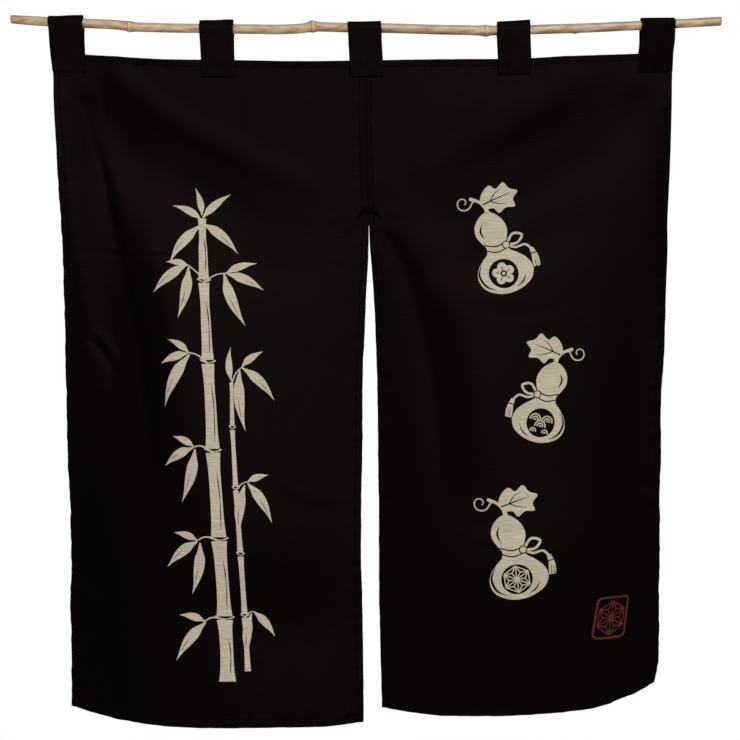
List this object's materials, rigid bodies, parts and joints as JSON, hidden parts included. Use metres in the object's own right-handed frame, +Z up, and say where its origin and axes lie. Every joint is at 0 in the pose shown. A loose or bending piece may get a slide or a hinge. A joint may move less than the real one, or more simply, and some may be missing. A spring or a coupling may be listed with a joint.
{
  "type": "noren curtain on bamboo pole",
  "caption": "Black cloth doorway curtain, parted by a slit below a sewn crescent, hanging in soft folds from cloth tabs looped over a thin, crooked bamboo pole.",
  "frame": {"origin": "on the pole's axis, straight above the seam between the two panels", "axes": "+X along the pole to the right as seen from the front, -Y out of the front of the cloth, +Z up"},
  "size_m": [0.957, 0.1273, 0.9698],
  "materials": {
    "black_cloth": "matt slub weave",
    "black_thread": "satin sewing thread",
    "bamboo": "dried cane skin, satin"
  },
  "bodies": {
    "root": {"panel_left": "black_cloth", "panel_right": "black_cloth", "tab_1": "black_cloth", "tab_2": "black_cloth", "tab_3": "black_cloth", "tab_4": "black_cloth", "tab_5": "black_cloth", "slit_tack": "black_thread", "pole": "bamboo"}
  },
  "joints": []
}
